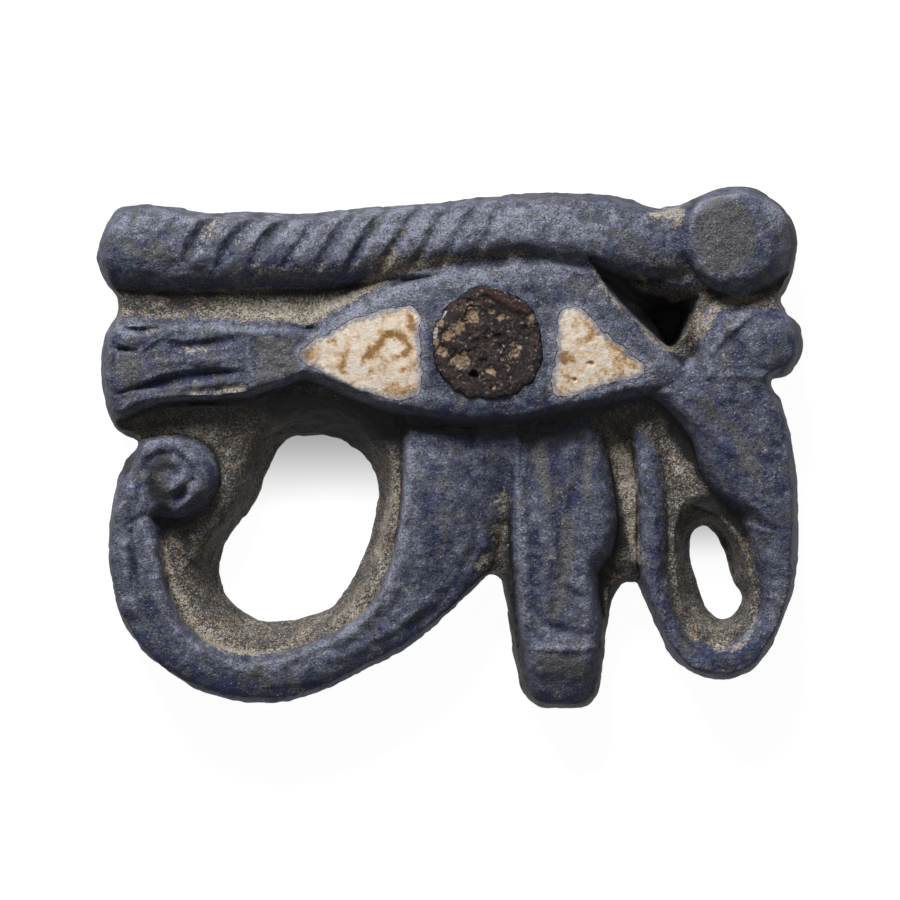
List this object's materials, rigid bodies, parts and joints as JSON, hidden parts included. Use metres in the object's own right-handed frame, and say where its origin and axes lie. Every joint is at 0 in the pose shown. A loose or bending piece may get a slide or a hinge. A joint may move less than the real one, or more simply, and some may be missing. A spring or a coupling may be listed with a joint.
{
  "type": "wedjat eye amulet",
  "caption": "Small openwork eye-of-a-falcon amulet: brow, inlaid eye, curled arm, drop and rearing cobra with sun disc, flat on the back.",
  "frame": {"origin": "middle of the amulet's outline, on its flat back", "axes": "+X along the brow towards the cobra and sun disc, +Y towards the brow, +Z out of the carved face"},
  "size_m": [0.0424, 0.0314, 0.0078],
  "materials": {
    "faience": "matt, granular, with soil in the recesses",
    "pale_stone": "matt, pitted, with iron stains",
    "dark_glass": "opaque, pitted, dull shine",
    "plaster": "matt"
  },
  "bodies": {
    "root": {"amulet_body": "faience", "outer_sclera_inlay": "pale_stone", "inner_sclera_inlay": "pale_stone", "pupil_inlay": "dark_glass", "outer_sclera_bed": "plaster", "inner_sclera_bed": "plaster", "pupil_bed": "plaster"}
  },
  "joints": []
}
